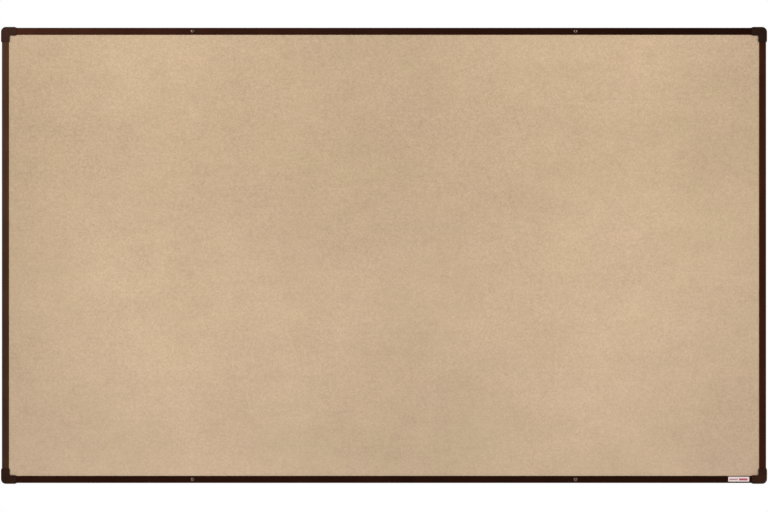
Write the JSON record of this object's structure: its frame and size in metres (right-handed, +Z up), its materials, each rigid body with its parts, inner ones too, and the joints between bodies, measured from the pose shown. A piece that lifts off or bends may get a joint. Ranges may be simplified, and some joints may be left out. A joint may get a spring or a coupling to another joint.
{
  "type": "cork bulletin board",
  "caption": "Large wall-hung cork pin board in a brown aluminium rail frame with moulded corner caps, screwed to the wall through the frame.",
  "frame": {"origin": "centre of the board on the wall plane, which the rears of the four rails and the caps lie on", "axes": "+X to the right as seen from the front, +Y from the board into the wall, +Z up; the front faces -Y"},
  "size_m": [2, 0.0408, 1.193],
  "materials": {
    "cork": "matte",
    "softboard": "matte",
    "galvanised_sheet": "satin",
    "rail_brown": "satin",
    "cap_brown": "satin",
    "zinc_plate": "satin",
    "screw_steel": "satin",
    "washer_brown": "satin",
    "label_white": "satin"
  },
  "bodies": {
    "root": {"cork_sheet": "cork", "core_board": "softboard", "backing_sheet": "galvanised_sheet", "rail_top": "rail_brown", "rail_right": "rail_brown", "rail_bottom": "rail_brown", "rail_left": "rail_brown", "corner_cap_top_right": "cap_brown", "corner_cap_bottom_right": "cap_brown", "corner_cap_bottom_left": "cap_brown", "corner_cap_top_left": "cap_brown", "corner_screw_top_right_level": "zinc_plate", "corner_screw_top_right_upright": "zinc_plate", "corner_screw_bottom_right_level": "zinc_plate", "corner_screw_bottom_right_upright": "zinc_plate", "corner_screw_bottom_left_level": "zinc_plate", "corner_screw_bottom_left_upright": "zinc_plate", "corner_screw_top_left_level": "zinc_plate", "corner_screw_top_left_upright": "zinc_plate", "wall_screw_top_right": "screw_steel", "wall_screw_bottom_right": "screw_steel", "wall_screw_bottom_left": "screw_steel", "wall_screw_top_left": "screw_steel", "cup_washer_top_right": "washer_brown", "cup_washer_bottom_right": "washer_brown", "cup_washer_bottom_left": "washer_brown", "cup_washer_top_left": "washer_brown", "label_plate": "label_white"}
  },
  "joints": []
}
